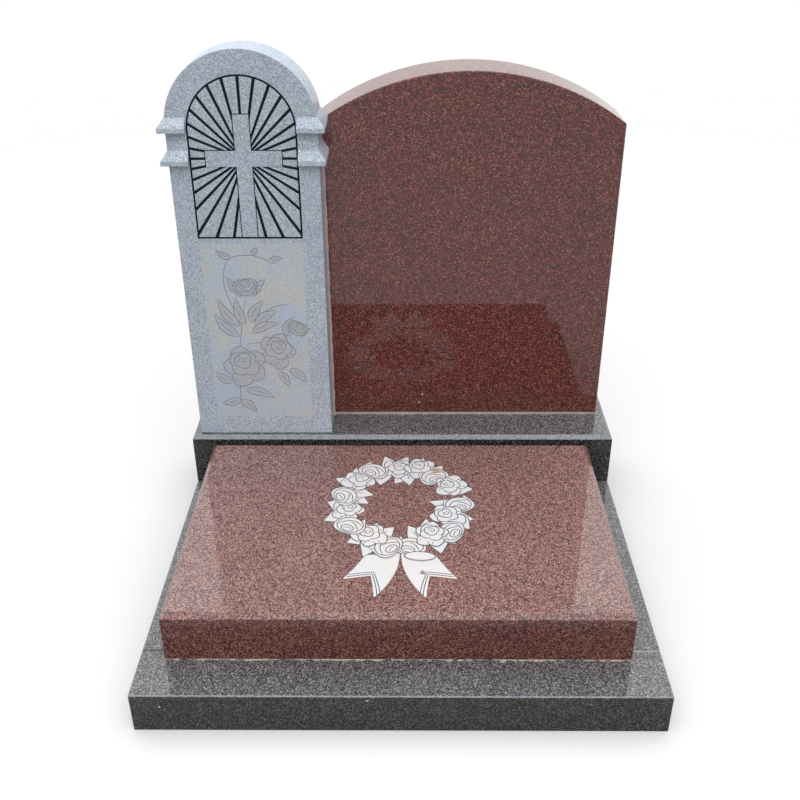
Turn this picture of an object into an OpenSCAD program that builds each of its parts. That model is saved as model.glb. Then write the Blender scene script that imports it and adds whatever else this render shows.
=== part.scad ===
// Granite grave memorial: an arched cross pillar and a cambered headstone on one base,
// with a kerbed plot and a raised cover slab in front of them.
// Origin: middle of the footprint, at ground level. +X is right, +Y is back, +Z is up.

/* [Kerbs] */
// Width of the whole memorial, across the kerbs and the base
plot_w = 1000; // [950:5:1100]
// Depth from the face of the front kerb to the face of the base
kerb_run = 665; // [665:5:1200]
// Height of the kerbs above the ground
kerb_h = 90; // [70:1:100]
// Width of each kerb, seen from above
kerb_t = 112; // [95:1:130]

/* [Base] */
// Depth of the base, front to back
base_d = 240; // [225:1:320]
// Height of the base above the ground
base_h = 218; // [190:1:260]
// Chamfer along the top edges of the base
base_chamfer = 8.5; // [3:0.5:12]

/* [Cover slab] */
// Distance from the sides of the memorial to the sides of the cover slab
ledger_margin = 55; // [20:1:80]
// Distance from the face of the front kerb to the face of the cover slab
ledger_setback = 88; // [20:1:90]
// Gap between the back of the cover slab and the base
ledger_gap = 4; // [1:0.5:10]
// Distance that the cover slab sits to the left of the middle
ledger_shift = 5; // [0:1:10]
// Thickness of the cover slab
ledger_t = 110; // [50:1:125]
// Chamfer along the top edges of the cover slab
ledger_chamfer = 10; // [3:0.5:15]
// Thickness of the mortar bed under the cover slab
ledger_bed_t = 2; // [1:0.5:5]

/* [Cross pillar] */
// Width of the pillar
pillar_w = 312; // [300:2:320]
// Thickness of the pillar
pillar_t = 84; // [60:1:90]
// Height of the pillar, from the base to the crown of its arch
pillar_h = 893; // [880:1:1000]
// Distance from the left end of the base to the side of the pillar
pillar_inset = 20; // [15:1:30]
// Distance from the face of the base to the face of the pillar
pillar_setback = 15; // [15:1:20]
// Distance that the two moulded bands stand out from the pillar
band_out = 14; // [6:1:14]
// Height of the upright face of a band
band_face_h = 10; // [6:1:14]
// Height of the sloping top of a band
band_slope_h = 19; // [12:1:24]
// Height of the underside of the lower band above the base
low_band_z = 661; // [620:1:665]
// Height of the underside of the upper band above the base
high_band_z = 729; // [725:1:735]

/* [Cross window] */
// Half the width of the arched window, to the outside of its border
window_r = 113; // [105:1:120]
// Height of the top of the window above the base
window_top_z = 844; // [835:1:850]
// Height of the foot of the window above the base
window_foot_z = 497; // [470:1:520]
// Width of the line round the window
border_w = 4; // [3:0.5:6]
// Width of the two bars of the cross
cross_bar_w = 32.5; // [24:0.5:40]
// Width of the cross across its arms
cross_span = 157.5; // [130:0.5:170]
// Height of the top of the cross above the base
cross_top_z = 764; // [750:1:775]
// Height of the middle of the arms above the base
cross_arm_z = 673; // [660:1:685]
// Width of the line round the cross
cross_line_w = 2; // [1:0.2:3]
// Number of rays in a whole turn round the middle of the cross
ray_count = 32; // [16:4:40]
// Width of a ray at the border
ray_outer_w = 8; // [4:0.5:9]
// Width of a ray at the middle of the cross
ray_inner_w = 4.5; // [2:0.5:5]
// Depth to which the lines of the window are cut
line_depth = 1.5; // [0.5:0.5:3]

/* [Headstone] */
// Distance from the right end of the base to the side of the headstone
stone_inset = 24; // [16:1:40]
// Distance that the headstone runs behind the pillar
stone_lap = 17; // [5:1:60]
// Thickness of the headstone
stone_t = 121; // [80:1:122]
// Height of the headstone, from its mortar bed to the crown of its camber
stone_h = 825; // [700:1:880]
// Radius of the cambered top
stone_r = 548; // [480:1:800]
// Thickness of the mortar bed under the headstone
stone_bed_t = 6.5; // [2:0.5:8]

/* [Hidden] */
$fn = 96;

// Distance that a mortar bed stays back from the faces of the stone on it
bed_inset = 1;
// Distance that a cutting tool runs past the stone it cuts
past = 1;
// Distance that the sloping top of a band runs on into the pillar
band_bite = 3;

front_y = -(kerb_run + base_d) / 2;
base_y = front_y + kerb_run;
ledger_y = front_y + ledger_setback;
ledger_w = plot_w - 2 * ledger_margin;
ledger_d = kerb_run - ledger_setback - ledger_gap;
ledger_bed_z = kerb_h;
ledger_z = ledger_bed_z + ledger_bed_t;
pillar_y = base_y + pillar_setback;
pillar_x = -plot_w / 2 + pillar_inset + pillar_w / 2;
stone_y = pillar_y + pillar_t;
stone_w = plot_w - pillar_inset - pillar_w - stone_inset + stone_lap;
stone_x = plot_w / 2 - stone_inset - stone_w / 2;
stone_z = base_h + stone_bed_t;

// A block that stands on the ground plane, centred on X, with its front face at y = 0
module block(w, d, h) {
    translate([-w / 2, 0, 0]) cube([w, d, h]);
}

// A flat outline in X and Z, given thickness t towards +Y
module upright(t) {
    translate([0, t, 0]) rotate([90, 0, 0]) linear_extrude(t) children();
}

// A flat outline in Y and Z, given width w and centred on X
module crosswise(w) {
    translate([-w / 2, 0, 0]) rotate([90, 0, 90]) linear_extrude(w) children();
}

// A slab with all four top edges chamfered: where a prism along X meets a prism along Y
module chamfered_slab(w, d, h, c) {
    intersection() {
        crosswise(w) polygon([[0, 0], [d, 0], [d, h - c], [d - c, h], [c, h], [0, h - c]]);
        upright(d) polygon([
            [-w / 2, 0], [w / 2, 0], [w / 2, h - c], [w / 2 - c, h], [c - w / 2, h], [-w / 2, h - c]
        ]);
    }
}

// The outline of an arched opening or slab: a half circle on an upright rectangle
module arch(r, foot, top) {
    translate([-r, foot]) square([2 * r, top - r - foot]);
    intersection() {
        translate([0, top - r]) circle(r);
        translate([-r, top - r - past]) square([2 * r, r + 2 * past]);
    }
}

// One moulded band round the front and sides of the pillar, mitred at the corners and
// stopped on either side of the window
module band(z) {
    half = pillar_w / 2;
    slope = band_slope_h / band_out;
    top_h = band_face_h + band_slope_h + band_bite * slope;
    translate([0, 0, z]) difference() {
        intersection() {
            crosswise(pillar_w + 2 * band_out) polygon([
                [pillar_t, 0], [pillar_t, top_h], [band_bite, top_h],
                [-band_out, band_face_h], [-band_out, 0]
            ]);
            translate([0, -band_out, 0]) upright(pillar_t + band_out) polygon([
                [-half - band_out, 0], [half + band_out, 0], [half + band_out, band_face_h],
                [half - band_bite, top_h], [band_bite - half, top_h], [-half - band_out, band_face_h]
            ]);
        }
        translate([0, -band_out - past, -past])
            block(2 * window_r, band_out + past, top_h + 2 * past);
    }
}

// The two bars of the cross, grown by g on every side but the foot
module cross_shape(g) {
    translate([-cross_bar_w / 2 - g, window_foot_z])
        square([cross_bar_w + 2 * g, cross_top_z - window_foot_z + g]);
    translate([-cross_span / 2 - g, cross_arm_z - cross_bar_w / 2 - g])
        square([cross_span + 2 * g, cross_bar_w + 2 * g]);
}

// One ray, pointing along +X from the middle of the cross and wider at its far end
module ray(reach) {
    polygon([
        [0, -ray_inner_w / 2], [reach, -ray_outer_w / 2], [reach, ray_outer_w / 2], [0, ray_inner_w / 2]
    ]);
}

// Every line cut in the window: its border, the rays and the outline of the cross
module window_lines() {
    reach = cross_arm_z - window_foot_z + window_r;
    difference() {
        arch(window_r, window_foot_z, window_top_z);
        arch(window_r - border_w, window_foot_z + border_w, window_top_z - border_w);
    }
    difference() {
        intersection() {
            arch(window_r - border_w / 2, window_foot_z, window_top_z - border_w / 2);
            translate([0, cross_arm_z])
                for (i = [0:ray_count - 1]) rotate(i * 360 / ray_count) ray(reach);
        }
        cross_shape(cross_line_w / 2);
    }
    difference() {
        cross_shape(cross_line_w);
        translate([0, -past]) cross_shape(0);
        cross_shape(0);
    }
}

module front_kerb() {
    color("#4c4a4a") translate([0, front_y, 0]) block(plot_w, kerb_t, kerb_h);
}

module side_kerb(side) {
    color("#4c4a4a") translate([side * (plot_w - kerb_t) / 2, front_y + kerb_t, 0])
        block(kerb_t, kerb_run - kerb_t, kerb_h);
}

module left_kerb() {
    side_kerb(-1);
}

module right_kerb() {
    side_kerb(1);
}

module head_base() {
    color("#474645") translate([0, base_y, 0]) chamfered_slab(plot_w, base_d, base_h, base_chamfer);
}

// Mortar only where the cover slab lies over a kerb
module ledger_bed() {
    color("#cdb5a8") intersection() {
        translate([-ledger_shift, ledger_y + bed_inset, ledger_bed_z])
            block(ledger_w - 2 * bed_inset, ledger_d - 2 * bed_inset, ledger_bed_t);
        difference() {
            translate([0, front_y, ledger_bed_z]) block(plot_w, kerb_run, ledger_bed_t);
            translate([0, front_y + kerb_t, ledger_bed_z - past])
                block(plot_w - 2 * kerb_t, kerb_run, ledger_bed_t + 2 * past);
        }
    }
}

module ledger() {
    color("#7d4a45") translate([-ledger_shift, ledger_y, ledger_z])
        chamfered_slab(ledger_w, ledger_d, ledger_t, ledger_chamfer);
}

module headstone_bed() {
    color("#cdb5a8") translate([stone_x, stone_y + bed_inset, base_h])
        block(stone_w - 2 * bed_inset, stone_t - 2 * bed_inset, stone_bed_t);
}

module headstone() {
    color("#663a37") translate([stone_x, stone_y, stone_z]) upright(stone_t) intersection() {
        translate([-stone_w / 2, 0]) square([stone_w, stone_h]);
        translate([0, stone_h - stone_r]) circle(stone_r, $fn = 240);
    }
}

module cross_pillar() {
    color("#a4aab2") translate([pillar_x, pillar_y, base_h]) difference() {
        union() {
            upright(pillar_t) arch(pillar_w / 2, 0, pillar_h);
            band(low_band_z);
            band(high_band_z);
        }
        translate([0, -past, 0]) upright(line_depth + past) window_lines();
    }
}

front_kerb();
left_kerb();
right_kerb();
head_base();
ledger_bed();
ledger();
headstone_bed();
headstone();
cross_pillar();
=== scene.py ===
# The looks of a kerb-set granite memorial: its stones with eased arrises, the artwork on them,
# the mortar between them, and a plain pale studio round it. Lengths are in metres in the frame
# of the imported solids; a drawing on a stone is laid out in millimetres on that stone's face.

import logging
import math
from dataclasses import dataclass, field
from enum import Enum
from typing import Callable, Sequence

import bmesh
import bpy
from bmesh.types import BMEdge, BMesh, BMFace, BMVert
from mathutils import Matrix, Vector, noise


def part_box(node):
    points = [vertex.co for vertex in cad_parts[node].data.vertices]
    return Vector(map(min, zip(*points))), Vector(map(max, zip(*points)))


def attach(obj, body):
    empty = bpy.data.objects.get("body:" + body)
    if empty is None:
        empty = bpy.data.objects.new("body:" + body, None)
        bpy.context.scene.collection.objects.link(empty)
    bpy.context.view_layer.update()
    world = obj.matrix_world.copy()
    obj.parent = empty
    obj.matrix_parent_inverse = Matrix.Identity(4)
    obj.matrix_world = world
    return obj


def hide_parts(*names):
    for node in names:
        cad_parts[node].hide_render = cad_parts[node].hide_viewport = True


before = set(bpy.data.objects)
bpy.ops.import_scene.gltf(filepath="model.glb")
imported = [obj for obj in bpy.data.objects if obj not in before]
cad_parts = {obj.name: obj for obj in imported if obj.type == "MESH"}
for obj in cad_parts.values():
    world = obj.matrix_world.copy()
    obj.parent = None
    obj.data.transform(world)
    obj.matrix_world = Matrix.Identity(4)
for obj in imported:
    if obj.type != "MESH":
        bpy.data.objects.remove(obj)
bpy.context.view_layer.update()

LOG = logging.getLogger("memorial")
MM = 0.001
BODY = "root"
RGB = tuple[float, float, float]
Place = tuple[float, float, float]
Point = tuple[float, float]
Material = bpy.types.Material
Node = bpy.types.Node
Socket = bpy.types.NodeSocket


class Slot(Enum):
    """The record's material slots."""

    DARK = "dark_granite"
    RED = "red_granite"
    LIGHT = "light_granite"
    MORTAR = "mortar"
    ARTWORK = "white_artwork"
    PAINT = "black_paint"


class Side(Enum):
    """The two sides of the memorial, as the sign of X."""

    LEFT = -1
    RIGHT = 1


# ---------------------------------------------------------------- shader graphs


class Graph:
    """A node tree that is filled node by node.

    Args:
        tree: the tree of a material, a world or a node group.
    """

    def __init__(self, tree: bpy.types.NodeTree) -> None:
        """Keeps the tree."""
        self.tree = tree

    def feed(self, socket: Socket, value: object) -> None:
        """Links a socket into another, or sets its plain value.

        Args:
            socket: the input to fill.
            value: an output socket, a number, a vector or a colour.
        """
        if isinstance(value, Socket):
            self.tree.links.new(value, socket)
        elif isinstance(value, tuple) and socket.type == "RGBA" and len(value) == 3:
            socket.default_value = (*value, 1.0)
        else:
            socket.default_value = value

    def add(self, kind: str, inputs: dict | None = None, **settings: object) -> Node:
        """Adds a node.

        Args:
            kind: the node's type name.
            inputs: what goes into its sockets, by name or index.
            settings: the node's own properties.

        Returns:
            The new node.
        """
        node = self.tree.nodes.new(kind)
        for key, value in settings.items():
            setattr(node, key, value)
        for key, value in (inputs or {}).items():
            self.feed(node.inputs[key], value)
        return node

    def math(self, operation: str, *values: object, clamp: bool = False) -> Socket:
        """Adds a Math node over one to three values and returns its output."""
        inputs = dict(enumerate(values))
        return self.add("ShaderNodeMath", inputs, operation=operation, use_clamp=clamp).outputs[0]

    def vector_math(self, operation: str, *values: object) -> Node:
        """Adds a Vector Math node over its values and returns the node."""
        return self.add("ShaderNodeVectorMath", dict(enumerate(values)), operation=operation)

    def mix(self, factor: object, low: object, high: object, how: str = "MIX") -> Socket:
        """Mixes two colours.

        Args:
            factor: 0 gives low and 1 gives high.
            low: the first colour.
            high: the second colour.
            how: the blend type.

        Returns:
            The mixed colour's socket.
        """
        node = self.add("ShaderNodeMix", data_type="RGBA", blend_type=how)
        self.feed(node.inputs[0], factor)
        self.feed(node.inputs[6], low)
        self.feed(node.inputs[7], high)
        return node.outputs[2]

    def bands(self, factor: object, stops: Sequence[tuple[float, RGB]]) -> Socket:
        """Adds a colour ramp of plain bands.

        Args:
            factor: where to read the ramp.
            stops: where each band starts, and its colour.

        Returns:
            The colour's socket.
        """
        node = self.add("ShaderNodeValToRGB", {0: factor})
        node.color_ramp.interpolation = "CONSTANT"
        points = node.color_ramp.elements
        while len(points) < len(stops):
            points.new(1.0)
        for point, (place, colour) in zip(points, stops):
            point.position = place
            point.color = (*colour, 1.0)
        return node.outputs[0]

    def span(
        self, value: object, low: float, high: float, to_low: float = 0.0, to_high: float = 1.0
    ) -> Socket:
        """Maps low..high to to_low..to_high, held at the ends, and returns the result's socket."""
        inputs = {0: value, 1: low, 2: high, 3: to_low, 4: to_high}
        return self.add("ShaderNodeMapRange", inputs).outputs[0]

    def noise(self, vector: object, scale: object, detail: float = 2.0) -> Node:
        """Adds a Noise texture read at vector and returns the node."""
        return self.add("ShaderNodeTexNoise", {"Vector": vector, "Scale": scale, "Detail": detail})

    def grey(self, level: Socket) -> Socket:
        """Makes a grey of that level and returns its socket."""
        return self.add("ShaderNodeCombineColor", {0: level, 1: level, 2: level}).outputs[0]


class Sharing:
    """The node groups that several finishes share, each built once.

    crystal_grain gives Mineral and Fleck, a random value for each coarse and each fine crystal,
    and Cloud, a slow mottling. ragged_spot gives a ragged round mask, panel_box a mask that is 1
    inside a box, weather_film the uneven dullness that weather leaves on a polish, and the last
    group a mask of what faces up, where a pale tone of dust and painted sky sheen lies, with Up, how far a
    face looks up.
    """

    def __init__(self) -> None:
        """Builds the groups."""
        self.grain = self._grain()
        self.spot = self._spot()
        self.panel = self._panel()
        self.film = self._film()
        self.dust_and_sheen = self._dust_and_sheen()

    @staticmethod
    def _open(
        name: str, inputs: dict[str, str], outputs: Sequence[str]
    ) -> tuple[Graph, dict[str, Socket], Node]:
        """Starts a node group.

        Args:
            name: the group's name.
            inputs: each input's name and kind of socket.
            outputs: the names of its value outputs.

        Returns:
            Its graph, its inputs by name, and its output node.
        """
        tree = bpy.data.node_groups.new(name, "ShaderNodeTree")
        for key, kind in inputs.items():
            tree.interface.new_socket(key, in_out="INPUT", socket_type=kind)
        for key in outputs:
            tree.interface.new_socket(key, in_out="OUTPUT", socket_type="NodeSocketFloat")
        graph = Graph(tree)
        entry = graph.add("NodeGroupInput")
        leave = graph.add("NodeGroupOutput")
        return graph, {key: entry.outputs[key] for key in inputs}, leave

    def _grain(self) -> bpy.types.NodeTree:
        """Builds the crystals of a granite.

        Returns:
            The group's tree.
        """
        kinds = {"Vector": "NodeSocketVector", "Per Metre": "NodeSocketFloat"}
        graph, inlet, leave = self._open("crystal_grain", kinds, ["Mineral", "Fleck", "Cloud"])
        bend = graph.noise(inlet["Vector"], graph.math("MULTIPLY", inlet["Per Metre"], 0.9))
        centred = graph.vector_math("SUBTRACT", bend.outputs["Color"], (0.5, 0.5, 0.5)).outputs[0]
        reach = graph.math("DIVIDE", 1.1, inlet["Per Metre"])
        shift = graph.add("ShaderNodeVectorMath", {0: centred, "Scale": reach}, operation="SCALE")
        bent = graph.vector_math("ADD", inlet["Vector"], shift.outputs[0]).outputs[0]
        for name, finer in (("Mineral", 1.0), ("Fleck", 2.3)):
            scale = graph.math("MULTIPLY", inlet["Per Metre"], finer)
            cells = graph.add("ShaderNodeTexVoronoi", {"Vector": bent, "Scale": scale})
            random = graph.add("ShaderNodeSeparateColor", {0: cells.outputs["Color"]})
            graph.feed(leave.inputs[name], random.outputs[0])
        graph.feed(leave.inputs["Cloud"], graph.noise(inlet["Vector"], 9.0, 3.0).outputs[0])
        return graph.tree

    def _spot(self) -> bpy.types.NodeTree:
        """Builds a round mark with a ragged edge.

        Returns:
            The group's tree.
        """
        kinds = {"Vector": "NodeSocketVector", "Centre": "NodeSocketVector", "Radius": "NodeSocketFloat"}
        graph, inlet, leave = self._open("ragged_spot", kinds, ["Mask"])
        away = graph.vector_math("DISTANCE", inlet["Vector"], inlet["Centre"]).outputs["Value"]
        share = graph.math("DIVIDE", away, inlet["Radius"])
        ragged = graph.noise(inlet["Vector"], 260.0, 3.0).outputs[0]
        edge = graph.math("ADD", share, graph.span(ragged, 0.3, 0.7, -0.35, 0.35))
        graph.feed(leave.inputs["Mask"], graph.span(edge, 0.55, 1.0, 1.0, 0.0))
        return graph.tree

    def _panel(self) -> bpy.types.NodeTree:
        """Builds the mask of a box.

        Returns:
            The group's tree.
        """
        kinds = {"Vector": "NodeSocketVector", "Low": "NodeSocketVector", "High": "NodeSocketVector"}
        graph, inlet, leave = self._open("panel_box", kinds, ["Mask"])
        inside = []
        for name, order in (("Low", (0, 1)), ("High", (1, 0))):
            pair = (inlet["Vector"], inlet[name])
            gap = graph.vector_math("SUBTRACT", pair[order[0]], pair[order[1]]).outputs[0]
            axes = graph.add("ShaderNodeSeparateXYZ", {0: gap})
            across = graph.math("MINIMUM", axes.outputs["X"], axes.outputs["Z"])
            inside.append(graph.math("MINIMUM", across, axes.outputs["Y"]))
        depth = graph.math("MINIMUM", *inside)
        graph.feed(leave.inputs["Mask"], graph.span(depth, -0.4 * MM, 0.8 * MM))
        return graph.tree

    def _film(self) -> bpy.types.NodeTree:
        """Builds the patchy dullness of a weathered polish.

        Returns:
            The group's tree.
        """
        graph, inlet, leave = self._open("weather_film", {"Vector": "NodeSocketVector"}, ["Dullness"])
        wide = graph.noise(inlet["Vector"], 5.0, 4.0).outputs[0]
        fine = graph.noise(inlet["Vector"], 60.0, 3.0).outputs[0]
        both = graph.math("MULTIPLY", graph.span(wide, 0.35, 0.7), graph.span(fine, 0.25, 0.75, 0.5, 1.0))
        graph.feed(leave.inputs["Dullness"], both)
        return graph.tree

    def _dust_and_sheen(self) -> bpy.types.NodeTree:
        """Builds the mask of what faces up, where a pale tone lies that is partly dust and partly painted
        sky sheen.

        Returns:
            The group's tree.
        """
        kinds = {"Vector": "NodeSocketVector", "Normal": "NodeSocketVector"}
        graph, inlet, leave = self._open("dust_and_painted_sheen", kinds, ["Mask", "Up"])
        up = graph.add("ShaderNodeSeparateXYZ", {0: inlet["Normal"]}).outputs["Z"]
        level = graph.span(up, 0.55, 0.95)
        graph.feed(leave.inputs["Up"], level)
        # patchy mask of the pale tone on what faces up, which is partly dust and partly painted sky sheen
        patchy = graph.span(graph.noise(inlet["Vector"], 14.0, 4.0).outputs[0], 0.3, 0.7, 0.85, 1.0)
        graph.feed(leave.inputs["Mask"], graph.math("MULTIPLY", level, patchy))
        return graph.tree


@dataclass(frozen=True)
class Mark:
    """A stain or splash: its centre, its radius, its colour and how strongly it covers."""

    centre: Place
    radius: float
    colour: RGB
    cover: float = 1.0


class Dressing:
    """A material in the making, on a Principled shader.

    Args:
        name: the material's name.
        groups: the shared node groups.
    """

    def __init__(self, name: str, groups: Sharing | None = None) -> None:
        """Starts the material and reads the object coordinates."""
        self.material = bpy.data.materials.new(name)
        self.material.use_nodes = True
        self.groups = groups
        self.graph = Graph(self.material.node_tree)
        self.shader = self.material.node_tree.nodes["Principled BSDF"]
        self.place = self.graph.add("ShaderNodeTexCoord").outputs["Object"]

    def fill(self, inputs: dict[str, object]) -> None:
        """Fills the shader's sockets, by name."""
        for key, value in inputs.items():
            self.graph.feed(self.shader.inputs[key], value)

    def effect(self, tree: bpy.types.NodeTree, inputs: dict[str, object] | None = None) -> Node:
        """Places a shared group, read at the object coordinates, and returns its node."""
        return self.graph.add("ShaderNodeGroup", {"Vector": self.place, **(inputs or {})}, node_tree=tree)

    def bump(self, height: Socket, strength: float, distance: float) -> Socket:
        """Turns a height into a normal and returns the normal's socket."""
        inputs = {"Strength": strength, "Distance": distance, "Height": height}
        return self.graph.add("ShaderNodeBump", inputs).outputs[0]

    def stain(self, colour: Socket, marks: Sequence[Mark]) -> Socket:
        """Lays marks over a colour.

        Args:
            colour: the clean colour.
            marks: the marks, the lowest first.

        Returns:
            The marked colour's socket.
        """
        for mark in marks:
            spot = self.effect(self.groups.spot, {"Centre": mark.centre, "Radius": mark.radius})
            cover = self.graph.math("MULTIPLY", spot.outputs[0], mark.cover)
            colour = self.graph.mix(cover, colour, mark.colour)
        return colour


# ---------------------------------------------------------------- kinds of finish


# How far a fleck hides the crystal under it, how much of the dust and painted sky sheen lies on the
# darkest and on the palest crystals, and how much rougher a weather film makes the stone
FLECK_COVER = 0.85
DUST_AND_SHEEN_ON_DARK = 0.15
DUST_AND_SHEEN_ON_PALE = 3.2
FILM_ROUGHNESS = 0.12


@dataclass(frozen=True)
class Granite:
    """A granite and its polish.

    Fields: minerals are the coarse crystals, each kind from its place on the scale of 0 to 1 up
    to the next; fleck is the colour of the fine crystals that lie over them where their value is
    above fleck_from, and per_metre how many coarse crystals a metre has. roughness and
    body_index are the stone's own soft shine. coat_up and coat_side are the weight of the clear
    polish on what faces up and on the rest, coat_roughness and coat_index its look. mottling is
    how far the tone drifts; the next two fields are how much pale tone lies on what faces up, partly
    dust and partly a painted sky sheen, and that tone's colour; and marks are the chips and splashes.
    """

    name: str
    minerals: tuple[tuple[float, RGB], ...]
    fleck: RGB
    fleck_from: float
    per_metre: float
    roughness: float
    body_index: float
    coat_up: float
    coat_side: float
    coat_roughness: float
    coat_index: float
    mottling: float
    dust_and_sheen: float
    dust_and_sheen_tone: RGB
    marks: tuple[Mark, ...] = ()

    def crystals(self, dressing: Dressing) -> Socket:
        """Paints the crystals.

        Args:
            dressing: the material in the making.

        Returns:
            The colour's socket.
        """
        graph = dressing.graph
        grain = dressing.effect(dressing.groups.grain, {"Per Metre": self.per_metre})
        coarse = graph.bands(grain.outputs["Mineral"], self.minerals)
        is_fleck = graph.math("GREATER_THAN", grain.outputs["Fleck"], self.fleck_from)
        speckled = graph.mix(graph.math("MULTIPLY", is_fleck, FLECK_COVER), coarse, self.fleck)
        low, high = 1.0 - self.mottling, 1.0 + self.mottling
        level = graph.span(grain.outputs["Cloud"], 0.3, 0.7, low, high)
        return graph.mix(1.0, speckled, graph.grey(level), "MULTIPLY")

    @staticmethod
    def dust_and_sheen_node(dressing: Dressing) -> Node:
        """Places the group that masks the dust and painted sky sheen on what faces up, and returns its
        node.
        """
        normal = dressing.graph.add("ShaderNodeTexCoord").outputs["Normal"]
        return dressing.effect(dressing.groups.dust_and_sheen, {"Normal": normal})

    def with_dust_and_sheen(self, dressing: Dressing, dust_and_sheen_node: Node, colour: Socket) -> Socket:
        """Lays the pale tone on what faces up, partly dust and partly painted sky sheen, which shows most
        on pale crystals, and the marks over a colour.

        Args:
            dressing: the material in the making.
            dust_and_sheen_node: the node of the group that masks the dust and painted sky sheen.
            colour: the clean colour.

        Returns:
            The new colour's socket.
        """
        graph = dressing.graph
        brightness = graph.add("ShaderNodeRGBToBW", {0: colour}).outputs[0]
        palest = sum(self.minerals[-1][1]) / 3
        # the pale tone over what faces up: dust, and a painted sky sheen
        share = graph.span(brightness, 0.0, palest, DUST_AND_SHEEN_ON_DARK * self.dust_and_sheen, DUST_AND_SHEEN_ON_PALE * self.dust_and_sheen)
        cover = graph.math("MULTIPLY", dust_and_sheen_node.outputs["Mask"], share)
        return dressing.stain(graph.mix(cover, colour, self.dust_and_sheen_tone), self.marks)

    def polish(self, dressing: Dressing, dust_and_sheen_node: Node) -> None:
        """Lays the clear polish.

        Args:
            dressing: the material in the making.
            dust_and_sheen_node: the node of the dust and painted sky sheen group, which knows what faces
                up.
        """
        weight = self.coat_up
        if self.coat_side != self.coat_up:
            weight = dressing.graph.span(dust_and_sheen_node.outputs["Up"], 0.0, 1.0, self.coat_side, self.coat_up)
        dressing.fill({
            "IOR": self.body_index,
            "Coat Weight": weight,
            "Coat Roughness": self.coat_roughness,
            "Coat IOR": self.coat_index,
        })

    def build(self, groups: Sharing) -> Material:
        """Builds the material.

        Args:
            groups: the shared node groups.

        Returns:
            The finished material.
        """
        dressing = Dressing(self.name, groups)
        dust_and_sheen_node = self.dust_and_sheen_node(dressing)
        dull = dressing.effect(groups.film).outputs[0]
        roughest = self.roughness + FILM_ROUGHNESS
        dressing.fill({
            "Base Color": self.with_dust_and_sheen(dressing, dust_and_sheen_node, self.crystals(dressing)),
            "Roughness": dressing.graph.span(dull, 0.0, 1.0, self.roughness, roughest),
        })
        self.polish(dressing, dust_and_sheen_node)
        return dressing.material


@dataclass(frozen=True)
class PanelledGranite(Granite):
    """A tooled granite with a smooth panel, whose crystals show less than round it.

    Fields: low and high are the panel's corners, cool and warm the tones that it drifts
    between, and cover how far they hide the crystals.
    """

    low: Place = (0.0, 0.0, 0.0)
    high: Place = (0.0, 0.0, 0.0)
    cool: RGB = (0.5, 0.5, 0.5)
    warm: RGB = (0.5, 0.5, 0.5)
    cover: float = 0.5

    def build(self, groups: Sharing) -> Material:
        """Builds the material, with the panel smoother and paler.

        Args:
            groups: the shared node groups.

        Returns:
            The finished material.
        """
        dressing = Dressing(self.name, groups)
        graph = dressing.graph
        dust_and_sheen_node = self.dust_and_sheen_node(dressing)
        mask = dressing.effect(groups.panel, {"Low": self.low, "High": self.high}).outputs[0]
        speckled = self.with_dust_and_sheen(dressing, dust_and_sheen_node, self.crystals(dressing))
        drift = graph.span(graph.noise(dressing.place, 10.0, 1.0).outputs[0], 0.38, 0.62)
        tone = graph.mix(drift, self.cool, self.warm)
        tooth = graph.noise(dressing.place, 700.0, 2.0).outputs[0]
        height = graph.math("MULTIPLY", tooth, graph.span(mask, 0.0, 1.0, 1.0, 0.15))
        dressing.fill({
            "Base Color": graph.mix(graph.math("MULTIPLY", mask, self.cover), speckled, tone),
            "Roughness": graph.span(mask, 0.0, 1.0, self.roughness, 0.5 * self.roughness),
            "Normal": dressing.bump(height, 0.25, 0.4 * MM),
        })
        self.polish(dressing, dust_and_sheen_node)
        return dressing.material


@dataclass(frozen=True)
class Mortar:
    """A sandy pointing mortar, of grains between two colours."""

    name: str
    pale: RGB
    dark: RGB
    grains_per_metre: float = 900.0

    def build(self, groups: Sharing) -> Material:
        """Builds the material from the shared crystals, used as sand grains.

        Args:
            groups: the shared node groups.

        Returns:
            The finished material.
        """
        dressing = Dressing(self.name, groups)
        sand = dressing.effect(groups.grain, {"Per Metre": self.grains_per_metre})
        dressing.fill({
            "Base Color": dressing.graph.mix(sand.outputs["Mineral"], self.dark, self.pale),
            "Roughness": dressing.graph.span(sand.outputs["Fleck"], 0.0, 1.0, 0.8, 0.95),
            "Normal": dressing.bump(sand.outputs["Fleck"], 0.5, 0.5 * MM),
        })
        return dressing.material


@dataclass(frozen=True)
class Etching:
    """Artwork etched or painted on a stone, through which a little of the grain shows.

    Fields: grain_colour and grain_share are the grain's colour and how far it shows, shine the
    strength of the highlights, drift a second colour that the first one strays to, per_metre
    how many grains a metre has, and marks the stains.
    """

    name: str
    colour: RGB
    grain_colour: RGB
    grain_share: float
    roughness: float
    shine: float = 0.5
    drift: RGB | None = None
    per_metre: float = 420.0
    marks: tuple[Mark, ...] = ()

    def build(self, groups: Sharing) -> Material:
        """Builds the material, with its marks over it.

        Args:
            groups: the shared node groups.

        Returns:
            The finished material.
        """
        dressing = Dressing(self.name, groups)
        graph = dressing.graph
        grain = dressing.effect(groups.grain, {"Per Metre": self.per_metre})
        plain = self.colour
        if self.drift:
            plain = graph.mix(graph.span(grain.outputs["Cloud"], 0.35, 0.65), self.colour, self.drift)
        share = graph.math("MULTIPLY", grain.outputs["Mineral"], self.grain_share)
        dressing.fill({
            "Base Color": dressing.stain(graph.mix(share, plain, self.grain_colour), self.marks),
            "Roughness": graph.span(
                grain.outputs["Fleck"], 0.0, 1.0, self.roughness, self.roughness + 0.1
            ),
            "Specular IOR Level": self.shine,
        })
        return dressing.material


# ---------------------------------------------------------------- the memorial's finishes


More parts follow.
